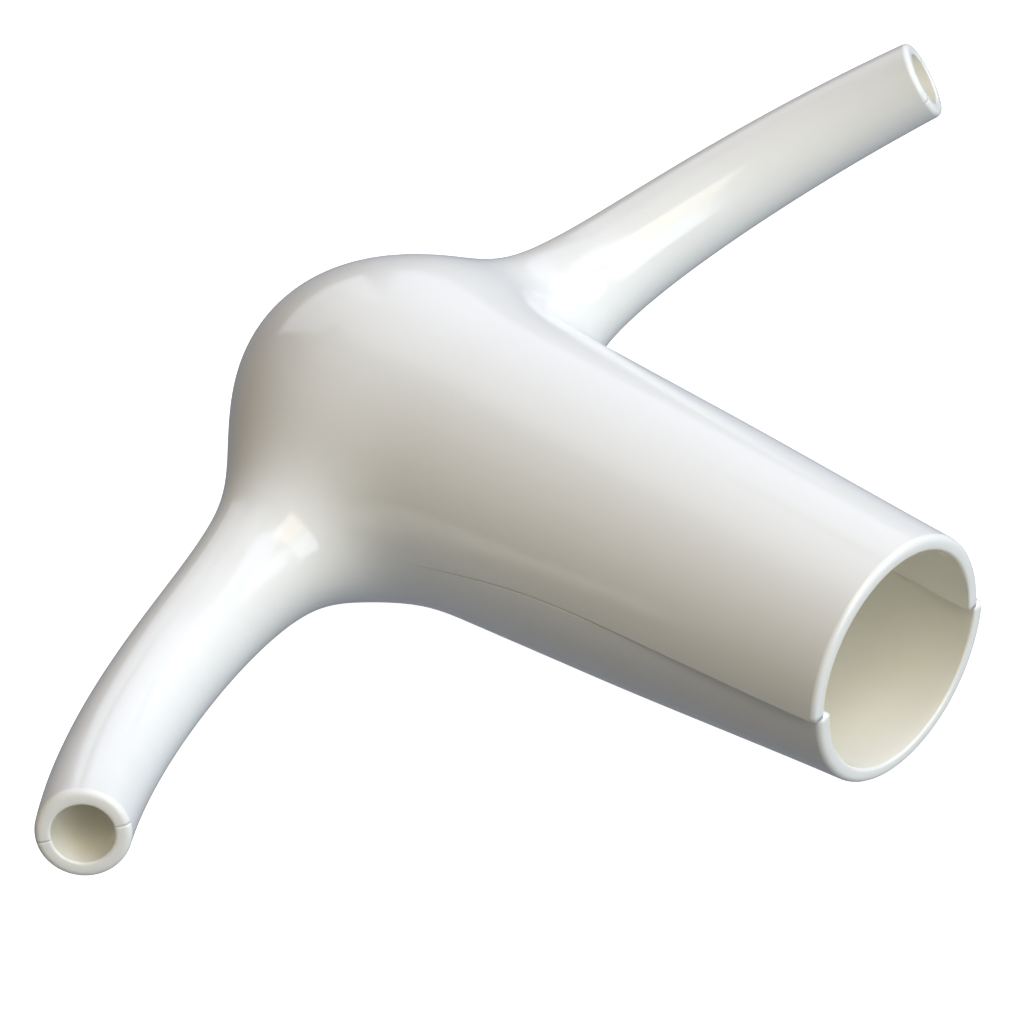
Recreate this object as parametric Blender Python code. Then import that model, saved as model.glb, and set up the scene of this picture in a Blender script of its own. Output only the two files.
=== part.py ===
"""Two-arm suction tip: a thin-walled plastic T moulded as two half shells.

The barrel's axis runs along X with its open mouth at +X and a closed dome at -X. Two tapering arms
leave the barrel at -Y and +Y and curve up and toward the mouth. The outer surface is one blend of
barrel and arms. A coarse cage gives it its faces, and each point of the subdivided cage settles on
the blend. The surface then gets a wall and is parted along the joint line into the two shells.
"""

import math

import bmesh
import bpy
import numpy as np
from mathutils import Vector

MM = 0.001

# Barrel: a tapering tube, slightly taller than wide at the mouth, closed by an elliptical dome.
MOUTH_RADIUS = 7.88 * MM
MOUTH_OVAL = 1.03
ROOT_RADIUS = 10.64 * MM
BARREL_LENGTH = 40.8 * MM
DOME_START = -0.36 * MM
DOME_LENGTH = 12.5 * MM
TAPER_SOFTNESS = 0.05

# Arms: centre line and tapering radius.
ARM_LENGTH = 44.6 * MM
ARM_START_HEIGHT = -0.6 * MM
ARM_PLANE_TILT = math.radians(28.0)
ARM_START_HEADING = math.radians(-5.8)
ARM_TURN = math.radians(57.4)
ARM_TURN_POWER = 1.07
TIP_RADIUS = 2.75 * MM
ARM_TAPER = 0.98 * MM
ARM_TAPER_POWER = 1.54
FLARE_RADIUS = 4.68 * MM
FLARE_START = 9.3 * MM
FLARE_FADE = 3.41 * MM
FLARE_EASE = 3.0 * MM
ROOT_BLEND = 5.9 * MM

WALL = 0.95 * MM

# Joint line: it follows the arms' sides, then swings round the barrel to this angle.
JOINT_SWING = math.radians(14.0)
SWING_START = 7.0 * MM
SWING_END = 19.0 * MM
BOND_GAP = 0.06 * MM

# Mismatch: toward the mouth the shells have slipped along the joint against each other.
UPPER_SLIP = 0.25 * MM
LOWER_SLIP = -0.32 * MM
SLIP_START = 22.0 * MM

# Cage: sides of each ring, and where the rings stand.
BARREL_SIDES = 16
ARM_SIDES = 12
ROOT_HALF_WIDTH = 7.3 * MM
ROOT_COLUMNS = 2
ROOT_ROWS = 4
BARREL_STATIONS = [BARREL_LENGTH, 33.5 * MM, 26.0 * MM, 19.0 * MM, 12.6 * MM]
DOME_STATIONS = [-10.3 * MM]
ARM_STATIONS = [12.6 * MM, 15.2 * MM, 18.6 * MM, 23.0 * MM, 28.2 * MM, 33.6 * MM, 39.0 * MM, ARM_LENGTH]
ROOT_SADDLE = 2.0 * MM
SADDLE_FADE = 3.2 * MM
SURFACE_LEVEL = 1
RELAX_PASSES = 6
SETTLE_PASSES = 5
PROBE = 0.01 * MM

COLOUR_UPPER = (0.86, 0.86, 0.85, 1.0)
COLOUR_LOWER = (0.82, 0.82, 0.81, 1.0)


def clear_scene():
    for obj in list(bpy.data.objects):
        bpy.data.objects.remove(obj, do_unlink=True)


def smoothstep(low, high, value):
    share = np.clip((value - low) / (high - low), 0.0, 1.0)
    return share * share * (3.0 - 2.0 * share)


def barrel_radius(x):
    """Radius of the tapering tube, which leaves the dome without a kink."""
    share = np.maximum(x - DOME_START, 0.0) / (BARREL_LENGTH - DOME_START)
    softened = np.hypot(share, TAPER_SOFTNESS) - TAPER_SOFTNESS
    full = math.hypot(1.0, TAPER_SOFTNESS) - TAPER_SOFTNESS
    return ROOT_RADIUS + (MOUTH_RADIUS - ROOT_RADIUS) * softened / full


def arm_radius(distance):
    taper = 1.0 - np.clip(distance / ARM_LENGTH, 0.0, 1.0) ** ARM_TAPER_POWER
    past = distance - FLARE_START
    flare = np.exp(-0.5 * (past + np.hypot(past, FLARE_EASE)) / FLARE_FADE)
    return TIP_RADIUS + ARM_TAPER * taper + FLARE_RADIUS * flare


def arm_heading(distance):
    """The arm turns in a tilted plane, from the Y axis toward the mouth and up."""
    return ARM_START_HEADING + ARM_TURN * (distance / ARM_LENGTH) ** ARM_TURN_POWER


def direction_at(heading):
    sweep = np.array([math.cos(ARM_PLANE_TILT), 0.0, math.sin(ARM_PLANE_TILT)])
    return np.outer(np.cos(heading), (0.0, 1.0, 0.0)) + np.outer(np.sin(heading), sweep)


# The +Y arm's centre line, as points and directions at even steps along it.
ARM_STEPS = np.linspace(0.0, ARM_LENGTH, 241)
ARM_DIRECTIONS = direction_at(arm_heading(ARM_STEPS))
ARM_STRIDE = ARM_STEPS[1]
ARM_MIDDLES = direction_at(arm_heading(ARM_STEPS[:-1] + 0.5 * ARM_STRIDE))
ARM_POINTS = np.vstack([np.zeros(3), np.cumsum(ARM_MIDDLES * ARM_STRIDE, axis=0)])
ARM_POINTS[:, 2] += ARM_START_HEIGHT


def on_arm(table, distance):
    return np.stack([np.interp(distance, ARM_STEPS, table[:, axis]) for axis in range(3)], axis=-1)


def oval(x):
    """How much taller than wide the barrel is there."""
    return 1.0 + (MOUTH_OVAL - 1.0) * np.clip(x / BARREL_LENGTH, 0.0, 1.0) ** 1.5


def barrel_field(points):
    """Distance from the barrel and its dome, below zero inside."""
    x = points[:, 0] - DOME_START
    across = np.hypot(points[:, 1], points[:, 2] / oval(points[:, 0]))
    radius = barrel_radius(points[:, 0])
    lean = (barrel_radius(points[:, 0] + PROBE) - radius) / PROBE
    tube = (across - radius) / np.sqrt(1.0 + lean * lean)
    stretched = np.hypot(x / DOME_LENGTH, across / ROOT_RADIUS)
    steepness = np.hypot(x / DOME_LENGTH**2, across / ROOT_RADIUS**2)
    dome = stretched * (stretched - 1.0) / np.maximum(steepness, 1e-9)
    return np.where(x < 0.0, dome, tube)


def arm_field(points):
    """Distance from the arms. Both are mirror images, so the +Y arm serves for both."""
    mirrored = np.column_stack([points[:, 0], np.abs(points[:, 1]), points[:, 2]])
    distance = mirrored[:, 1].copy()
    for _ in range(8):
        off = mirrored - on_arm(ARM_POINTS, distance)
        step = np.sum(off * on_arm(ARM_DIRECTIONS, distance), axis=1)
        distance = np.clip(distance + 0.8 * step, 0.0, ARM_LENGTH)
    along = on_arm(ARM_DIRECTIONS, distance)
    off = mirrored - on_arm(ARM_POINTS, distance)
    off -= along * np.sum(off * along, axis=1)[:, None]
    return np.linalg.norm(off, axis=1) - arm_radius(distance)


def surface_field(points):
    """Distance from barrel and arms together, with a soft fillet where they meet."""
    barrel = barrel_field(points)
    arms = arm_field(points)
    nearness = np.maximum(ROOT_BLEND - np.abs(barrel - arms), 0.0) / ROOT_BLEND
    return np.minimum(barrel, arms) - nearness**3 * ROOT_BLEND / 6.0


def surface_normals(points):
    """Outward directions of the blend, and how steeply its distance grows."""
    slopes = np.empty_like(points)
    for axis in range(3):
        probe = np.zeros(3)
        probe[axis] = PROBE
        slopes[:, axis] = surface_field(points + probe) - surface_field(points - probe)
    slopes /= 2.0 * PROBE
    steepness = np.linalg.norm(slopes, axis=1)[:, None]
    return slopes / steepness, steepness


def settled(points):
    for _ in range(SETTLE_PASSES):
        normals, steepness = surface_normals(points)
        points = points - normals * surface_field(points)[:, None] / steepness
    return points


def joint_swing(x):
    return JOINT_SWING * smoothstep(SWING_START, SWING_END, x)


def barrel_point(x, angle):
    """Angle 0 is the joint line on the +Y side, which swings below the middle toward the mouth."""
    turned = angle - joint_swing(x)
    radius = barrel_radius(x)
    if x < DOME_START:
        radius = ROOT_RADIUS * math.sqrt(1.0 - ((DOME_START - x) / DOME_LENGTH) ** 2)
    return Vector((x, radius * math.cos(turned), radius * math.sin(turned)))


def arm_frame(distance, side):
    """Centre of the arm there, its direction, and its sideways and upward directions."""
    mirror = np.array([1.0, side, 1.0])
    centre = Vector(on_arm(ARM_POINTS, distance) * mirror)
    along = Vector(on_arm(ARM_DIRECTIONS, distance) * mirror).normalized()
    across = Vector((0.0, 0.0, 1.0)).cross(along).normalized() * -side
    return centre, along, across, across.cross(along) * side


def arm_point(distance, side, angle):
    """Angle 0 is the joint line on the mouth side of the arm, and 90 degrees is the arm's top."""
    centre, _, across, up = arm_frame(distance, side)
    return centre + float(arm_radius(distance)) * (math.cos(angle) * across + math.sin(angle) * up)


def extruded_ring(bm, edges):
    made = bmesh.ops.extrude_edge_only(bm, edges=edges)["geom"]
    verts = [item for item in made if isinstance(item, bmesh.types.BMVert)]
    rim = [item for item in made if isinstance(item, bmesh.types.BMEdge) and item.is_boundary]
    return verts, rim


def place_barrel_ring(verts, place, height, x):
    for vert in verts:
        angle = math.tau * vert[place] / BARREL_SIDES
        vert.co = barrel_point(x, angle)
        vert[height] = math.sin(angle)


def add_barrel(bm, place, height):
    """Rings from the mouth to the dome. Each vertex keeps its place round the ring."""
    start = bmesh.ops.create_circle(bm, segments=BARREL_SIDES, radius=MOUTH_RADIUS)["verts"]
    for vert in start:
        turn = math.atan2(vert.co.y, vert.co.x) / math.tau
        vert[place] = round(turn * BARREL_SIDES) % BARREL_SIDES
    root_step = 2.0 * ROOT_HALF_WIDTH / ROOT_COLUMNS
    root_stations = [ROOT_HALF_WIDTH - column * root_step for column in range(ROOT_COLUMNS + 1)]
    stations = BARREL_STATIONS + root_stations + DOME_STATIONS
    place_barrel_ring(start, place, height, stations[0])
    rim = list(bm.edges)
    for x in stations[1:]:
        verts, rim = extruded_ring(bm, rim)
        place_barrel_ring(verts, place, height, x)
    close_dome(bm, rim, place, height)


def close_dome(bm, rim, place, height):
    """A square grid of faces closes the ring, and its points then stand on the dome."""
    eighth = BARREL_SIDES // 8
    chains = (range(eighth, 3 * eighth), range(5 * eighth, 7 * eighth))
    sides = []
    for edge in rim:
        ends = sorted(vert[place] for vert in edge.verts)
        if any(ends[0] in chain and ends[1] == ends[0] + 1 for chain in chains):
            sides.append(edge)
    before = set(bm.verts)
    bmesh.ops.grid_fill(bm, edges=sides, mat_nr=0, use_smooth=True, use_interp_simple=False)
    for vert in set(bm.verts) - before:
        across = math.hypot(vert.co.y, vert.co.z) / ROOT_RADIUS
        vert.co.x = DOME_START - DOME_LENGTH * math.sqrt(1.0 - across * across)
        vert[height] = vert.co.z / ROOT_RADIUS


def open_root(bm, side):
    """Takes out the patch of barrel faces under an arm and returns the edges around the hole."""
    patch = []
    for face in bm.faces:
        middle = face.calc_center_median()
        slope = math.atan2(abs(middle.z), middle.y * side)
        if abs(middle.x) < ROOT_HALF_WIDTH and slope < 0.5 * ROOT_ROWS * math.tau / BARREL_SIDES:
            patch.append(face)
    edges = {edge for face in patch for edge in face.edges}
    rim = [edge for edge in edges if sum(face in patch for face in edge.link_faces) == 1]
    inner = [edge for edge in edges if edge not in rim]
    rim_verts = {vert for edge in rim for vert in edge.verts}
    inner_verts = {vert for edge in inner for vert in edge.verts} - rim_verts
    bmesh.ops.delete(bm, geom=patch, context="FACES_ONLY")
    bmesh.ops.delete(bm, geom=inner, context="EDGES")
    for vert in inner_verts:
        if vert.is_valid:
            bm.verts.remove(vert)
    return rim


def add_arm(bm, side, place, height):
    rim = open_root(bm, side)
    verts = list({vert for edge in rim for vert in edge.verts})
    verts.sort(key=lambda vert: math.atan2(vert.co.z, vert.co.x) % math.tau)
    first = max(verts, key=lambda vert: vert.co.x - abs(vert.co.z))
    offset = verts.index(first)
    for index, vert in enumerate(verts):
        vert[place] = (index - offset) % ARM_SIDES
    for distance in ARM_STATIONS:
        verts, rim = extruded_ring(bm, rim)
        saddle = ROOT_SADDLE * math.exp((ARM_STATIONS[0] - distance) / SADDLE_FADE)
        if distance == ARM_LENGTH:
            saddle = 0.0
        for vert in verts:
            angle = math.tau * vert[place] / ARM_SIDES
            vert.co = arm_point(distance - saddle * math.sin(angle) ** 2, side, angle)
            vert[height] = math.sin(angle)


def outer_cage():
    bm = bmesh.new()
    place = bm.verts.layers.int.new("place")
    height = bm.verts.layers.float.new("height")
    add_barrel(bm, place, height)
    for side in (-1.0, 1.0):
        add_arm(bm, side, place, height)
    for face in bm.faces:
        face.material_index = 0 if sum(vert[height] for vert in face.verts) > 0.0 else 1
        face.smooth = True
    bmesh.ops.recalc_face_normals(bm, faces=bm.faces)
    return bm


def smooth_surface(cage):
    """The cage's smooth surface, as a new bmesh."""
    mesh = bpy.data.meshes.new("outer_surface")
    cage.to_mesh(mesh)
    cage.free()
    guide = bpy.data.objects.new("outer_surface", mesh)
    bpy.context.scene.collection.objects.link(guide)
    subsurf = guide.modifiers.new("smooth", "SUBSURF")
    subsurf.levels = SURFACE_LEVEL
    subsurf.render_levels = SURFACE_LEVEL
    graph = bpy.context.evaluated_depsgraph_get()
    surface = bmesh.new()
    surface.from_object(guide, graph)
    bpy.data.objects.remove(guide, do_unlink=True)
    bpy.data.meshes.remove(mesh)
    return surface


def slipped(point, amount):
    """Both shells keep to the joint plane, which leans by the joint's swing."""
    along_joint = Vector((0.0, -math.cos(JOINT_SWING), math.sin(JOINT_SWING)))
    return point + amount * float(smoothstep(SLIP_START, BARREL_LENGTH, point.x)) * along_joint


def flatten_on_end(point, rim_point):
    """Puts the inner edge of an open end in the plane of that end."""
    if abs(rim_point.y) < ROOT_RADIUS:
        point.x = BARREL_LENGTH
        return point
    centre, along, _, _ = arm_frame(ARM_LENGTH, math.copysign(1.0, rim_point.y))
    return point - along * (point - centre).dot(along)


def settle_surface(surface):
    """Evens the points out along the blend. The joint line and the open ends only settle."""
    free = [vert for vert in surface.verts if not vert.is_boundary and not on_joint(vert)]
    for turn in range(RELAX_PASSES + 1):
        if turn:
            bmesh.ops.smooth_vert(
                surface, verts=free, factor=0.5, use_axis_x=True, use_axis_y=True, use_axis_z=True
            )
        points = settled(np.array([vert.co for vert in surface.verts]))
        for vert, point in zip(surface.verts, points):
            vert.co = flatten_on_end(Vector(point), vert.co) if vert.is_boundary else point


def on_joint(vert):
    return len({face.material_index for face in vert.link_faces}) == 2


def mark_inner_surface(surface):
    """Stores, on each point of the outer surface, where the inner surface has the same point."""
    inside = surface.verts.layers.float_vector.new("inside")
    normals, _ = surface_normals(np.array([vert.co for vert in surface.verts]))
    for vert, normal in zip(surface.verts, normals):
        point = vert.co - WALL * Vector(normal)
        vert[inside] = flatten_on_end(point, vert.co) if vert.is_boundary else point


def half_shell(surface, part):
    """One half of the surface with its wall: 0 is the upper half and 1 the lower."""
    bm = surface.copy()
    inside = bm.verts.layers.float_vector["inside"]
    joint = [vert for vert in bm.verts if on_joint(vert)]
    away = Vector((0.0, 0.0, 0.5 * BOND_GAP if part == 0 else -0.5 * BOND_GAP))
    for vert in joint:
        vert.co += away
        vert[inside] = Vector(vert[inside]) + away
    slip = UPPER_SLIP if part == 0 else LOWER_SLIP
    for vert in bm.verts:
        if abs(vert.co.y) < ROOT_RADIUS:
            vert[inside] = slipped(Vector(vert[inside]), slip)
            vert.co = slipped(vert.co, slip)
    other = [face for face in bm.faces if face.material_index != part]
    bmesh.ops.delete(bm, geom=other, context="FACES")
    outer = bm.verts[:] + bm.edges[:] + bm.faces[:]
    rim = [edge for edge in bm.edges if edge.is_boundary]
    inner = bmesh.ops.duplicate(bm, geom=outer)["geom"]
    faces = [item for item in inner if isinstance(item, bmesh.types.BMFace)]
    inner_rim = [item for item in inner if isinstance(item, bmesh.types.BMEdge) and item.is_boundary]
    for item in inner:
        if isinstance(item, bmesh.types.BMVert):
            item.co = item[inside]
    bmesh.ops.reverse_faces(bm, faces=faces)
    bmesh.ops.bridge_loops(bm, edges=rim + inner_rim)
    for face in bm.faces:
        face.material_index = 0
    bmesh.ops.recalc_face_normals(bm, faces=bm.faces)
    return bm


def plastic(name, colour):
    material = bpy.data.materials.new(name)
    material.use_nodes = True
    shader = material.node_tree.nodes["Principled BSDF"]
    shader.inputs["Base Color"].default_value = colour
    shader.inputs["Roughness"].default_value = 0.2
    shader.inputs["Metallic"].default_value = 0.0
    return material


def add_shell(name, bm, colour, move):
    bmesh.ops.translate(bm, verts=bm.verts, vec=move)
    mesh = bpy.data.meshes.new(name)
    bm.to_mesh(mesh)
    bm.free()
    mesh.shade_smooth()
    mesh.set_sharp_from_angle(angle=math.radians(40.0))
    mesh.materials.append(plastic(name, colour))
    obj = bpy.data.objects.new(name, mesh)
    bpy.context.scene.collection.objects.link(obj)
    return obj


def main():
    clear_scene()
    surface = smooth_surface(outer_cage())
    settle_surface(surface)
    mark_inner_surface(surface)
    points = [vert.co for vert in surface.verts]
    middle_x = (min(point.x for point in points) + max(point.x for point in points)) / 2.0
    move = Vector((-middle_x, 0.0, -min(point.z for point in points)))
    add_shell("upper_shell", half_shell(surface, 0), COLOUR_UPPER, move)
    add_shell("lower_shell", half_shell(surface, 1), COLOUR_LOWER, move)
    surface.free()


main()
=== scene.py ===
import math

import bmesh
import bpy
import numpy as np
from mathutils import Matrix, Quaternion, Vector


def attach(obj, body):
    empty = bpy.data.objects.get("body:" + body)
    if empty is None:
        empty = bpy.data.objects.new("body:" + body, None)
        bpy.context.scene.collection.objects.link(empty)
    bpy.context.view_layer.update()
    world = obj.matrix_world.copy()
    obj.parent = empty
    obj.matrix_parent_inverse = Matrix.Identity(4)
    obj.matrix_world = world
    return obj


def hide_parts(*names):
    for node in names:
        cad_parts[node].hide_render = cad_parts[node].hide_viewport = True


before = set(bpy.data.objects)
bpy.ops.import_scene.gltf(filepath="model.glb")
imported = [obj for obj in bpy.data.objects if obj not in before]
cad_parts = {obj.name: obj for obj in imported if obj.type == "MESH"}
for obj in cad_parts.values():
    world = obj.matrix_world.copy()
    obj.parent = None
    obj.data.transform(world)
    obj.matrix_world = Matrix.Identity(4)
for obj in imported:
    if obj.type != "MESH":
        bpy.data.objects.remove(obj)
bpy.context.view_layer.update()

mm = 0.001

# The barrel runs along X, mouth at +X, and the arms leave it at -Y and +Y. All sizes in mm and degrees.
barrel = {
    "mouthRadius": 7.88,
    "mouthOval": 1.03,  # height over width at the mouth
    "ovalPower": 1.5,
    "rootRadius": 10.64,
    "length": 40.8,
    "domeStart": -0.36,
    "domeLength": 12.5,
    "softStart": 0.05,  # how gently the taper begins behind the arms
}

arms = {
    "length": 44.6,
    "startHeight": -0.6,
    "planeTilt": 28.0,  # the arms curve up out of level by this much
    "startHeading": -5.8,
    "turn": 57.4,
    "turnPower": 1.07,
    "tipRadius": 2.75,
    "taper": 0.98,
    "taperPower": 1.54,
    "flareRadius": 4.68,  # swelling toward the barrel
    "flareStart": 9.3,
    "flareFade": 3.41,
    "flareEase": 3.0,
    "rootBlend": 5.9,  # fillet between arm and barrel
    "tableSteps": 241,
}

# How the wall's surface is found: slopes over a small step in mm, then a few passes onto it
search = {
    "slopeStep": 0.01,
    "armPasses": 8,
    "armStride": 0.8,
    "wallPasses": 4,
    "leastSlope": 1e-6,
}


def smoothStep(low, high, value):
    share = np.clip((value - low) / (high - low), 0.0, 1.0)
    return share * share * (3.0 - 2.0 * share)


def barrelRadius(x):
    soft = barrel["softStart"]
    share = np.maximum(x - barrel["domeStart"], 0.0) / (barrel["length"] - barrel["domeStart"])
    eased = (np.hypot(share, soft) - soft) / (math.hypot(1.0, soft) - soft)
    return barrel["rootRadius"] + (barrel["mouthRadius"] - barrel["rootRadius"]) * eased


def barrelOval(x):
    return 1.0 + (barrel["mouthOval"] - 1.0) * np.clip(x / barrel["length"], 0.0, 1.0) ** barrel["ovalPower"]


def armRadius(along):
    thinning = 1.0 - np.clip(along / arms["length"], 0.0, 1.0) ** arms["taperPower"]
    past = along - arms["flareStart"]
    flare = np.exp(-0.5 * (past + np.hypot(past, arms["flareEase"])) / arms["flareFade"])
    return arms["tipRadius"] + arms["taper"] * thinning + arms["flareRadius"] * flare


def armDirections(along):
    share = (along / arms["length"]) ** arms["turnPower"]
    heading = np.radians(arms["startHeading"] + arms["turn"] * share)
    tilt = math.radians(arms["planeTilt"])
    sweep = (math.cos(tilt), 0.0, math.sin(tilt))
    return np.outer(np.cos(heading), (0.0, 1.0, 0.0)) + np.outer(np.sin(heading), sweep)


def walkArm(steps):
    middles = armDirections(0.5 * (steps[1:] + steps[:-1])) * np.diff(steps)[:, None]
    points = np.vstack([np.zeros(3), np.cumsum(middles, axis=0)])
    return points + (0.0, 0.0, arms["startHeight"])


# Centre line of the +Y arm, as a table at even steps along it
armSteps = np.linspace(0.0, arms["length"], arms["tableSteps"])
armLine = walkArm(armSteps)
armAlong = armDirections(armSteps)


def lookUp(table, along):
    return np.stack([np.interp(along, armSteps, table[:, axis]) for axis in range(3)], axis=-1)


def barrelDistance(points):
    x = points[:, 0] - barrel["domeStart"]
    radius = barrelRadius(points[:, 0])
    across = np.hypot(points[:, 1], points[:, 2] / barrelOval(points[:, 0]))
    lean = (barrelRadius(points[:, 0] + search["slopeStep"]) - radius) / search["slopeStep"]
    tube = (across - radius) / np.sqrt(1.0 + lean * lean)
    long, wide = barrel["domeLength"], barrel["rootRadius"]
    stretched = np.hypot(x / long, across / wide)
    steepness = np.hypot(x / long**2, across / wide**2)
    dome = stretched * (stretched - 1.0) / np.maximum(steepness, search["leastSlope"])
    return np.where(x < 0.0, dome, tube)


def armDistance(points):
    folded = np.column_stack([points[:, 0], np.abs(points[:, 1]), points[:, 2]])
    along = folded[:, 1].copy()
    for _ in range(search["armPasses"]):
        off = folded - lookUp(armLine, along)
        step = np.sum(off * lookUp(armAlong, along), axis=1)
        along = np.clip(along + search["armStride"] * step, 0.0, arms["length"])
    heading = lookUp(armAlong, along)
    off = folded - lookUp(armLine, along)
    off -= heading * np.sum(off * heading, axis=1)[:, None]
    return np.linalg.norm(off, axis=1) - armRadius(along)


def wallDistance(points):
    # Barrel and arms as one wall, with a soft fillet where they meet
    body = barrelDistance(points)
    branch = armDistance(points)
    blend = arms["rootBlend"]
    near = np.maximum(blend - np.abs(body - branch), 0.0) / blend
    return np.minimum(body, branch) - near**3 * blend / 6.0


def wallNormals(points):
    slopes = np.empty_like(points)
    for axis in range(3):
        step = np.zeros(3)
        step[axis] = search["slopeStep"]
        rise = wallDistance(points + step) - wallDistance(points - step)
        slopes[:, axis] = rise / (2.0 * search["slopeStep"])
    steepness = np.linalg.norm(slopes, axis=1)[:, None]
    return slopes / steepness, steepness


def settle(points):
    for _ in range(search["wallPasses"]):
        normals, steepness = wallNormals(points)
        points = points - normals * wallDistance(points)[:, None] / steepness
    return points


# The two half shells meet on a line along the arms that swings round the barrel toward the mouth.
joint = {
    "swing": 14.0,
    "swingStart": 7.0,
    "swingEnd": 19.0,
    "gap": 0.05,
    "slipStart": 22.0,  # from here to the mouth the shells sit a little off each other
    "showStart": 8.0,  # the parting line only shows along the barrel
    "showEnd": 16.0,
    "showMargin": 1.0,
}

upperHalf = {"name": "upper_half", "node": "upper_shell", "side": 0, "slip": 0.25, "lift": 0.5}
lowerHalf = {"name": "lower_half", "node": "lower_shell", "side": 1, "slip": -0.32, "lift": -0.5}


def jointAngle(x):
    return math.radians(joint["swing"]) * float(smoothStep(joint["swingStart"], joint["swingEnd"], x))


def jointShows(point):
    share = float(smoothStep(joint["showStart"], joint["showEnd"], point.x))
    return share if abs(point.y) < barrel["rootRadius"] + joint["showMargin"] else 0.0


def barrelPoint(x, angle):
    turned = angle - jointAngle(x)
    radius = float(barrelRadius(x))
    if x < barrel["domeStart"]:
        inDome = (barrel["domeStart"] - x) / barrel["domeLength"]
        radius = barrel["rootRadius"] * math.sqrt(1.0 - inDome * inDome)
    return Vector((x, radius * math.cos(turned), radius * math.sin(turned)))


def armFrame(along, side):
    mirror = np.array([1.0, side, 1.0])
    centre = Vector(lookUp(armLine, along) * mirror)
    heading = Vector(lookUp(armAlong, along) * mirror).normalized()
    across = Vector((0.0, 0.0, 1.0)).cross(heading).normalized() * -side
    return centre, heading, across, across.cross(heading) * side


def armPoint(along, side, angle):
    centre, heading, across, up = armFrame(along, side)
    return centre + float(armRadius(along)) * (math.cos(angle) * across + math.sin(angle) * up)


# A coarse cage first: rings round the barrel and the arms
cage = {
    "barrelSides": 16,
    "barrelRings": [40.8, 33.5, 26.0, 19.0, 12.6, 7.3, 0.0, -7.3, -10.3],
    "armSides": 12,
    "armRings": [12.6, 15.2, 18.6, 23.0, 28.2, 33.6, 39.0, 44.6],
    "rootHalfWidth": 7.3,  # the opening that an arm grows from
    "rootSlope": 45.0,
    "saddle": 2.0,
    "saddleFade": 3.2,
    "fineness": 3,
    "evenings": 8,
    "evening": 0.5,
}


def nextRing(bm, edges):
    made = bmesh.ops.extrude_edge_only(bm, edges=edges)["geom"]
    verts = [item for item in made if isinstance(item, bmesh.types.BMVert)]
    rim = [item for item in made if isinstance(item, bmesh.types.BMEdge) and item.is_boundary]
    return verts, rim


def placeRing(verts, order, height, x):
    for vert in verts:
        angle = math.tau * vert[order] / cage["barrelSides"]
        vert.co = barrelPoint(x, angle)
        vert[height] = math.sin(angle)


def addBarrel(bm, order, height):
    sides = cage["barrelSides"]
    verts = bmesh.ops.create_circle(bm, segments=sides, radius=barrel["mouthRadius"])["verts"]
    for vert in verts:
        vert[order] = round(sides * math.atan2(vert.co.y, vert.co.x) / math.tau) % sides
    rim = list(bm.edges)
    placeRing(verts, order, height, cage["barrelRings"][0])
    for x in cage["barrelRings"][1:]:
        verts, rim = nextRing(bm, rim)
        placeRing(verts, order, height, x)
    closeDome(bm, rim, order, height)


def closeDome(bm, rim, order, height):
    eighth = cage["barrelSides"] // 8
    chains = (range(eighth, 3 * eighth), range(5 * eighth, 7 * eighth))
    rails = []
    for edge in rim:
        ends = sorted(vert[order] for vert in edge.verts)
        if any(ends[0] in chain and ends[1] == ends[0] + 1 for chain in chains):
            rails.append(edge)
    before = set(bm.verts)
    bmesh.ops.grid_fill(bm, edges=rails, mat_nr=0, use_smooth=True, use_interp_simple=False)
    for vert in set(bm.verts) - before:
        across = math.hypot(vert.co.y, vert.co.z) / barrel["rootRadius"]
        vert.co.x = barrel["domeStart"] - barrel["domeLength"] * math.sqrt(1.0 - across * across)
        vert[height] = vert.co.z / barrel["rootRadius"]


def openRoot(bm, side):
    patch = []
    for face in bm.faces:
        middle = face.calc_center_median()
        slope = math.degrees(math.atan2(abs(middle.z), middle.y * side))
        if abs(middle.x) < cage["rootHalfWidth"] and slope < cage["rootSlope"]:
            patch.append(face)
    edges = {edge for face in patch for edge in face.edges}
    rim = [edge for edge in edges if sum(face in patch for face in edge.link_faces) == 1]
    inner = [edge for edge in edges if edge not in rim]
    rimVerts = {vert for edge in rim for vert in edge.verts}
    innerVerts = {vert for edge in inner for vert in edge.verts} - rimVerts
    bmesh.ops.delete(bm, geom=patch, context="FACES_ONLY")
    bmesh.ops.delete(bm, geom=inner, context="EDGES")
    for vert in innerVerts:
        if vert.is_valid:
            bm.verts.remove(vert)
    return rim


def addArm(bm, side, order, height):
    rim = openRoot(bm, side)
    verts = list({vert for edge in rim for vert in edge.verts})
    verts.sort(key=lambda vert: math.atan2(vert.co.z, vert.co.x) % math.tau)
    first = verts.index(max(verts, key=lambda vert: vert.co.x - abs(vert.co.z)))
    for index, vert in enumerate(verts):
        vert[order] = (index - first) % cage["armSides"]
    for along in cage["armRings"]:
        verts, rim = nextRing(bm, rim)
        saddle = cage["saddle"] * math.exp((cage["armRings"][0] - along) / cage["saddleFade"])
        if along == arms["length"]:
            saddle = 0.0
        for vert in verts:
            angle = math.tau * vert[order] / cage["armSides"]
            vert.co = armPoint(along - saddle * math.sin(angle) ** 2, side, angle)
            vert[height] = math.sin(angle)


def wallCage():
    bm = bmesh.new()
    order = bm.verts.layers.int.new("order")
    height = bm.verts.layers.float.new("height")
    addBarrel(bm, order, height)
    for side in (-1.0, 1.0):
        addArm(bm, side, order, height)
    for face in bm.faces:
        face.material_index = 0 if sum(vert[height] for vert in face.verts) > 0.0 else 1
        face.smooth = True
    bmesh.ops.recalc_face_normals(bm, faces=bm.faces)
    return bm


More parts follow.
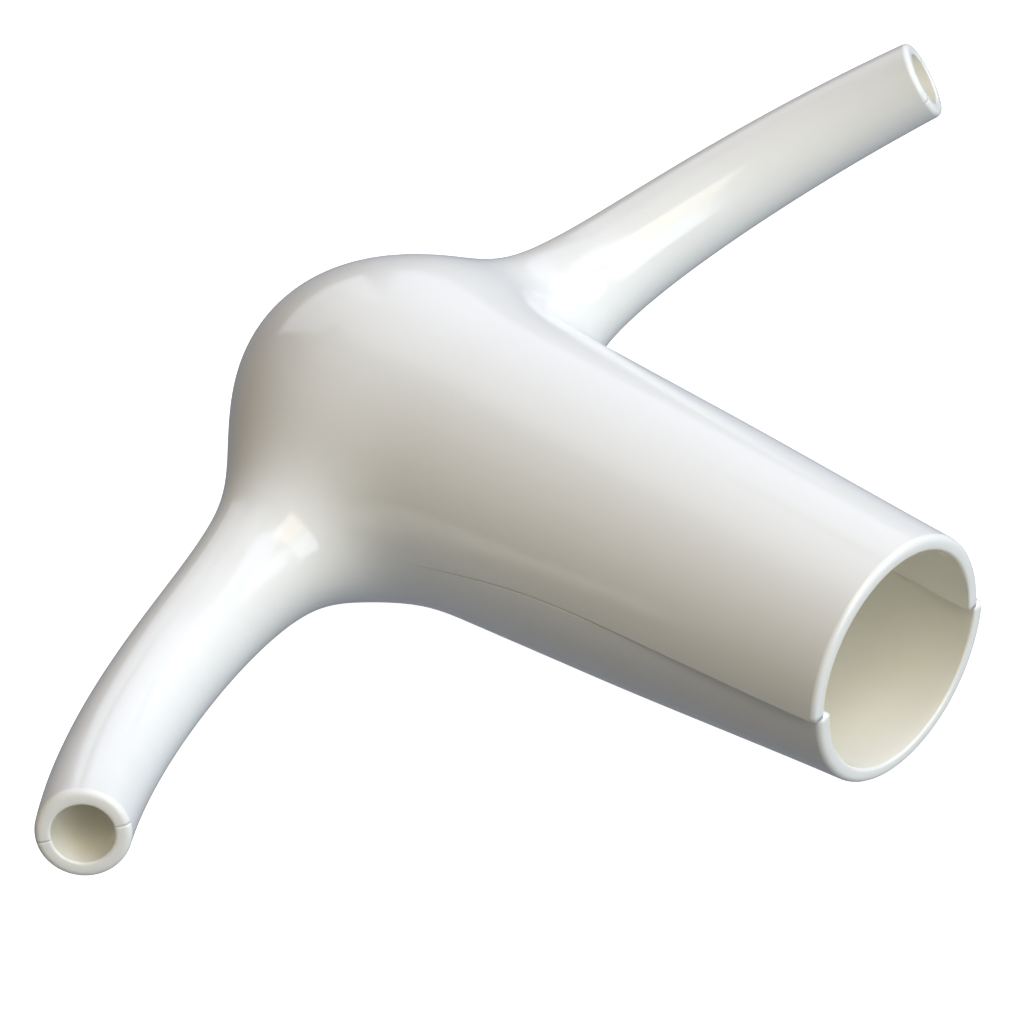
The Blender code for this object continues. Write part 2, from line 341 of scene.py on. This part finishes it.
def refined(bm, levels):
    mesh = bpy.data.meshes.new("wall")
    bm.to_mesh(mesh)
    bm.free()
    guide = bpy.data.objects.new("wall", mesh)
    bpy.context.scene.collection.objects.link(guide)
    subsurf = guide.modifiers.new("smooth", "SUBSURF")
    subsurf.levels = levels
    subsurf.render_levels = levels
    fine = bmesh.new()
    fine.from_object(guide, bpy.context.evaluated_depsgraph_get())
    bpy.data.objects.remove(guide, do_unlink=True)
    bpy.data.meshes.remove(mesh)
    return fine


def onJoint(vert):
    return len({face.material_index for face in vert.link_faces}) == 2


def flatOnEnd(point, rimPoint):
    if abs(rimPoint.y) < barrel["rootRadius"]:
        point.x = barrel["length"]
        return point
    centre, heading, _, _ = armFrame(arms["length"], math.copysign(1.0, rimPoint.y))
    return point - heading * (point - centre).dot(heading)


def evenOut(bm):
    free = [vert for vert in bm.verts if not vert.is_boundary and not onJoint(vert)]
    for turn in range(cage["evenings"] + 1):
        if turn:
            bmesh.ops.smooth_vert(
                bm, verts=free, factor=cage["evening"], use_axis_x=True, use_axis_y=True, use_axis_z=True
            )
        points = settle(np.array([vert.co for vert in bm.verts]))
        for vert, point in zip(bm.verts, points):
            vert.co = flatOnEnd(Vector(point), vert.co) if vert.is_boundary else point


outerWall = refined(wallCage(), cage["fineness"])
evenOut(outerWall)
print("outer wall:", len(outerWall.faces), "faces")


# Wall thickness and how far each kind of edge is rounded, in mm
shell = {
    "wall": 0.95,
    "rimRound": 0.38,
    "innerRimRound": 0.2,
    "seamRound": 0.09,
    "innerSeamRound": 0.05,
    "roundSegments": 4,
    "outerReach": 0.01,  # how near the wall a point counts as being on it
    "innerReach": 0.02,
    "agreement": 0.5,
}


def markInside(bm):
    inside = bm.verts.layers.float_vector.new("inside")
    normals, _ = wallNormals(np.array([vert.co for vert in bm.verts]))
    for vert, normal in zip(bm.verts, normals):
        point = vert.co - shell["wall"] * Vector(normal)
        vert[inside] = flatOnEnd(point, vert.co) if vert.is_boundary else point
    end = bm.edges.layers.int.new("openEnd")
    for edge in bm.edges:
        edge[end] = int(edge.is_boundary)


def slipped(point, amount):
    swing = math.radians(joint["swing"])
    share = float(smoothStep(joint["slipStart"], barrel["length"], point.x))
    return point + amount * share * Vector((0.0, -math.cos(swing), math.sin(swing)))


def halfShell(wall, half):
    bm = wall.copy()
    inside = bm.verts.layers.float_vector["inside"]
    end = bm.edges.layers.int["openEnd"]
    for vert in bm.verts:
        if onJoint(vert):
            lift = joint["gap"] * jointShows(vert.co) * half["lift"]
            vert.co.z += lift
            vert[inside] = Vector(vert[inside]) + Vector((0.0, 0.0, lift))
    for vert in bm.verts:
        if abs(vert.co.y) < barrel["rootRadius"]:
            vert[inside] = slipped(Vector(vert[inside]), half["slip"])
            vert.co = slipped(vert.co, half["slip"])
    other = [face for face in bm.faces if face.material_index != half["side"]]
    bmesh.ops.delete(bm, geom=other, context="FACES")
    rounding = bm.edges.layers.float.new("bevel_weight_edge")
    rim = [edge for edge in bm.edges if edge.is_boundary]
    inner = bmesh.ops.duplicate(bm, geom=bm.verts[:] + bm.edges[:] + bm.faces[:])["geom"]
    faces = [item for item in inner if isinstance(item, bmesh.types.BMFace)]
    innerRim = [item for item in inner if isinstance(item, bmesh.types.BMEdge) and item.is_boundary]
    for item in inner:
        if isinstance(item, bmesh.types.BMVert):
            item.co = item[inside]
    roundings = ((rim, "rimRound", "seamRound"), (innerRim, "innerRimRound", "innerSeamRound"))
    for edges, rimSize, seamSize in roundings:
        for edge in edges:
            size = shell[rimSize] if edge[end] else shell[seamSize] * jointShows(edge.verts[0].co)
            edge[rounding] = size / shell["rimRound"]
            edge.smooth = size > 0.0
    bmesh.ops.reverse_faces(bm, faces=faces)
    bmesh.ops.bridge_loops(bm, edges=rim + innerRim)
    for face in bm.faces:
        face.material_index = 0
        face.smooth = True
    for face in faces:
        face.material_index = 1
    bmesh.ops.recalc_face_normals(bm, faces=bm.faces)
    return bm


def addShell(half, bm, move, finishes):
    bmesh.ops.translate(bm, verts=bm.verts, vec=move)
    bmesh.ops.scale(bm, verts=bm.verts, vec=(mm, mm, mm))
    mesh = bpy.data.meshes.new(half["name"])
    bm.to_mesh(mesh)
    bm.free()
    for finish in finishes:
        mesh.materials.append(finish)
    piece = bpy.data.objects.new(half["name"], mesh)
    bpy.context.scene.collection.objects.link(piece)
    bevel = piece.modifiers.new("rounded edges", "BEVEL")
    bevel.limit_method = "WEIGHT"
    bevel.width = shell["rimRound"] * mm
    bevel.segments = shell["roundSegments"]
    bevel.profile = 0.5
    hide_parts(half["node"])
    return finishShading(piece, move, half["slip"])


def finishShading(piece, move, slip):
    # The bevel becomes real, and the smooth walls get the wall's own exact directions
    shaped = piece.evaluated_get(bpy.context.evaluated_depsgraph_get())
    rounded = bpy.data.meshes.new_from_object(shaped)
    piece.modifiers.clear()
    piece.data = rounded
    rounded.name = piece.name
    points = np.empty(3 * len(rounded.vertices))
    rounded.vertices.foreach_get("co", points)
    points = points.reshape(-1, 3) / mm - np.array(move)
    swing = math.radians(joint["swing"])
    onBarrel = np.abs(points[:, 1]) < barrel["rootRadius"]
    share = smoothStep(joint["slipStart"], barrel["length"], points[:, 0]) * onBarrel
    points -= slip * share[:, None] * np.array([0.0, -math.cos(swing), math.sin(swing)])
    exact, _ = wallNormals(points)
    off = wallDistance(points)
    directions = np.empty(3 * len(rounded.vertices))
    rounded.vertices.foreach_get("normal", directions)
    directions = directions.reshape(-1, 3)
    agrees = np.sum(exact * directions, axis=1)
    outer = (np.abs(off) < shell["outerReach"]) & (agrees > shell["agreement"])
    inner = (np.abs(off + shell["wall"]) < shell["innerReach"]) & (agrees < -shell["agreement"])
    directions[outer] = exact[outer]
    directions[inner] = -exact[inner]
    rounded.normals_split_custom_set_from_vertices(directions.tolist())
    return piece


plastic = {
    "white": (0.82, 0.815, 0.80, 1.0),
    "cream": (0.803, 0.796, 0.778, 1.0),  # faint cloudiness in the moulded plastic
    # Inside, the same plastic is tinted warmer: painted warm bounce light in the bore, laid over the
    # plastic's own cloudiness
    "innerWhitePaintedWarmBounce": (0.82, 0.80, 0.725, 1.0),
    "innerCreamPaintedWarmBounce": (0.80, 0.775, 0.69, 1.0),
    "through": (1.0, 0.94, 0.76, 1.0),  # a faint glow inside stands for light through the wall
    "glow": 0.035,
    "bending": 1.49,
    "glossy": 0.1,
    "satin": 0.17,
    "cloudScale": 45.0,
    "creamUpTo": 0.4,
    "whiteFrom": 0.6,
    "streakScale": (14.0, 260.0, 260.0),
    "streakLow": 0.3,
    "streakHigh": 0.7,
    "peelScale": 750.0,
    "peelHeight": 0.006,
    "streakHeight": 0.03,
}


def addNode(tree, kind, **values):
    node = tree.nodes.new(kind)
    for name, value in values.items():
        if name in node.inputs:
            node.inputs[name].default_value = value
        else:
            setattr(node, name, value)
    return node


def glossyPlastic(name, white, cream, glow):
    material = bpy.data.materials.new(name)
    material.use_nodes = True
    tree = material.node_tree
    shader = tree.nodes["Principled BSDF"]
    shader.inputs["IOR"].default_value = plastic["bending"]
    shader.inputs["Emission Color"].default_value = plastic["through"]
    shader.inputs["Emission Strength"].default_value = glow
    place = addNode(tree, "ShaderNodeTexCoord")
    cloud = addNode(tree, "ShaderNodeTexNoise", Scale=plastic["cloudScale"], Detail=3.0, Roughness=0.5)
    tree.links.new(place.outputs["Object"], cloud.inputs["Vector"])
    tone = addNode(tree, "ShaderNodeValToRGB")
    tone.color_ramp.elements[0].position = plastic["creamUpTo"]
    tone.color_ramp.elements[0].color = cream
    tone.color_ramp.elements[1].position = plastic["whiteFrom"]
    tone.color_ramp.elements[1].color = white
    tree.links.new(tone.outputs["Color"], shader.inputs["Base Color"])
    # Streaks drawn out along the barrel, where the plastic flowed into the mould
    stretch = addNode(tree, "ShaderNodeMapping")
    stretch.inputs["Scale"].default_value = plastic["streakScale"]
    tree.links.new(place.outputs["Object"], stretch.inputs["Vector"])
    streak = addNode(tree, "ShaderNodeTexNoise", Scale=1.0, Detail=4.0, Roughness=0.55)
    tree.links.new(stretch.outputs["Vector"], streak.inputs["Vector"])
    blend = addNode(tree, "ShaderNodeMath", operation="ADD")
    half = addNode(tree, "ShaderNodeMath", operation="MULTIPLY")
    half.inputs[1].default_value = 0.5
    tree.links.new(cloud.outputs["Fac"], blend.inputs[0])
    tree.links.new(streak.outputs["Fac"], blend.inputs[1])
    tree.links.new(blend.outputs["Value"], half.inputs[0])
    tree.links.new(half.outputs["Value"], tone.inputs["Fac"])
    gloss = addNode(tree, "ShaderNodeMapRange")
    gloss.inputs["From Min"].default_value = plastic["streakLow"]
    gloss.inputs["From Max"].default_value = plastic["streakHigh"]
    gloss.inputs["To Min"].default_value = plastic["glossy"]
    gloss.inputs["To Max"].default_value = plastic["satin"]
    tree.links.new(streak.outputs["Fac"], gloss.inputs["Value"])
    tree.links.new(gloss.outputs["Result"], shader.inputs["Roughness"])
    peel = addNode(tree, "ShaderNodeTexNoise", Scale=plastic["peelScale"], Detail=2.0, Roughness=0.5)
    tree.links.new(place.outputs["Object"], peel.inputs["Vector"])
    flow = addNode(tree, "ShaderNodeBump", Strength=1.0, Distance=plastic["streakHeight"] * mm)
    tree.links.new(streak.outputs["Fac"], flow.inputs["Height"])
    skin = addNode(tree, "ShaderNodeBump", Strength=1.0, Distance=plastic["peelHeight"] * mm)
    tree.links.new(peel.outputs["Fac"], skin.inputs["Height"])
    tree.links.new(flow.outputs["Normal"], skin.inputs["Normal"])
    tree.links.new(skin.outputs["Normal"], shader.inputs["Normal"])
    return material


markInside(outerWall)
lowest = min(vert.co.z for vert in outerWall.verts)
middle = 0.5 * (min(vert.co.x for vert in outerWall.verts) + barrel["length"])
toFrame = Vector((-middle, 0.0, -lowest))
outerFinish = glossyPlastic("glossy white plastic", plastic["white"], plastic["cream"], 0.0)
# The inner wall finish carries painted light: a warmer tint and a faint painted glow
innerFinishPaintedLight = glossyPlastic(
    "inner wall plastic with painted warm light", plastic["innerWhitePaintedWarmBounce"], plastic["innerCreamPaintedWarmBounce"], plastic["glow"]
)
for half in (upperHalf, lowerHalf):
    piece = addShell(half, halfShell(outerWall, half), toFrame, (outerFinish, innerFinishPaintedLight))
    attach(piece, "root")
outerWall.free()
print("both half shells made")


table = {
    "size": 3.0,
    "backdrop": 1.5,  # the pale sheet turns up this high round the table
    "colour": (0.5, 0.5, 0.5, 1.0),
    "roughness": 0.7,
    "light": (1.0, 1.0, 1.0, 1.0),
    "glow": 0.96,  # so bright that no shadow shows on it
}

surface = bmesh.new()
bmesh.ops.create_grid(surface, x_segments=4, y_segments=4, size=0.5 * table["size"])
rim = [edge for edge in surface.edges if edge.is_boundary]
raised = bmesh.ops.extrude_edge_only(surface, edges=rim)["geom"]
upper = [item for item in raised if isinstance(item, bmesh.types.BMVert)]
bmesh.ops.translate(surface, verts=upper, vec=(0.0, 0.0, table["backdrop"]))
floorMesh = bpy.data.meshes.new("table")
surface.to_mesh(floorMesh)
surface.free()
floor = bpy.data.objects.new("table", floorMesh)
bpy.context.scene.collection.objects.link(floor)
floorMaterial = bpy.data.materials.new("pale table")
floorMaterial.use_nodes = True
floorShader = floorMaterial.node_tree.nodes["Principled BSDF"]
floorShader.inputs["Base Color"].default_value = table["colour"]
floorShader.inputs["Roughness"].default_value = table["roughness"]
floorShader.inputs["Emission Color"].default_value = table["light"]
floorShader.inputs["Emission Strength"].default_value = table["glow"]
floorMesh.materials.append(floorMaterial)
floor.visible_diffuse = False  # the light from below comes from the room instead
floor.visible_glossy = False
floor.visible_shadow = False
print("table made")


# Softboxes round the table: where each stands, in degrees, its power in watts and its colour
softboxes = {
    "key right": {"around": 0.0, "up": 58.0, "power": 2.44, "colour": (1.0, 0.89, 0.64)},
    "low right": {"around": 0.0, "up": 25.0, "power": 2.8, "colour": (0.78, 0.9, 1.0)},
    "top back": {"around": 60.0, "up": 58.0, "power": 1.9, "colour": (0.62, 0.68, 1.0)},
    "low back": {"around": 40.0, "up": 25.0, "power": 2.0, "colour": (0.8, 0.92, 1.0)},
    "back": {"around": 80.0, "up": 25.0, "power": 1.1, "colour": (0.62, 0.81, 1.0)},
    "back left": {"around": 120.0, "up": 25.0, "power": 0.6, "colour": (0.75, 0.76, 1.0)},
    "left": {"around": 160.0, "up": 25.0, "power": 0.85, "colour": (0.87, 0.94, 1.0)},
    "top left": {"around": 150.0, "up": 58.0, "power": 0.5, "colour": (0.7, 0.78, 1.0)},
}
studio = {
    "reach": 0.8,  # how far the softboxes stand off
    "boxSize": 0.45,
    "aimHeight": 0.01,
    "room": (0.155, 0.125, 0.07, 1.0),  # warm walls all round
    "below": (0.23, 0.25, 0.29, 1.0),  # light sent back up from below
    "fadeFrom": -0.35,
}

for name, box in softboxes.items():
    lamp = bpy.data.lights.new(name, "AREA")
    lamp.shape = "SQUARE"
    lamp.size = studio["boxSize"]
    lamp.energy = box["power"]
    lamp.color = box["colour"]
    holder = bpy.data.objects.new(name, lamp)
    bpy.context.scene.collection.objects.link(holder)
    around, up = math.radians(box["around"]), math.radians(box["up"])
    away = Vector((math.cos(around) * math.cos(up), math.sin(around) * math.cos(up), math.sin(up)))
    holder.visible_camera = False
    holder.location = studio["reach"] * away + Vector((0.0, 0.0, studio["aimHeight"]))
    holder.rotation_euler = (-away).to_track_quat("-Z", "Y").to_euler()

world = bpy.data.worlds.new("room")
bpy.context.scene.world = world
world.use_nodes = True
background = world.node_tree.nodes.get("Background") or world.node_tree.nodes.new("ShaderNodeBackground")
worldOutput = world.node_tree.nodes.get("World Output") or world.node_tree.nodes.new("ShaderNodeOutputWorld")
world.node_tree.links.new(background.outputs["Background"], worldOutput.inputs["Surface"])
background.inputs["Strength"].default_value = 1.0
roomPlace = addNode(world.node_tree, "ShaderNodeTexCoord")
roomHeight = addNode(world.node_tree, "ShaderNodeSeparateXYZ")
world.node_tree.links.new(roomPlace.outputs["Generated"], roomHeight.inputs["Vector"])
roomFade = addNode(world.node_tree, "ShaderNodeMapRange")
roomFade.inputs["From Min"].default_value = studio["fadeFrom"]
roomFade.inputs["From Max"].default_value = 0.0
world.node_tree.links.new(roomHeight.outputs["Z"], roomFade.inputs["Value"])
roomTone = addNode(world.node_tree, "ShaderNodeValToRGB")
roomTone.color_ramp.elements[0].color = studio["below"]
roomTone.color_ramp.elements[1].color = studio["room"]
world.node_tree.links.new(roomFade.outputs["Result"], roomTone.inputs["Fac"])
world.node_tree.links.new(roomTone.outputs["Color"], background.inputs["Color"])
bpy.context.scene.view_settings.view_transform = "Standard"
print("lights set")


view = {
    "place": (0.105848, -0.084532, 0.13515),
    "turn": (0.86661484, 0.33342403, 0.22536208, 0.29498995),
    "lens": 100.93,
    "sensor": 36.0,
    "near": 0.01,
    "far": 20.0,
}

camera = bpy.data.cameras.new("camera")
camera.sensor_width = view["sensor"]
camera.lens = view["lens"]
camera.clip_start = view["near"]
camera.clip_end = view["far"]
eye = bpy.data.objects.new("camera", camera)
bpy.context.scene.collection.objects.link(eye)
eye.location = view["place"]
eye.rotation_mode = "QUATERNION"
eye.rotation_quaternion = Quaternion(view["turn"])
bpy.context.scene.camera = eye
print("camera set")
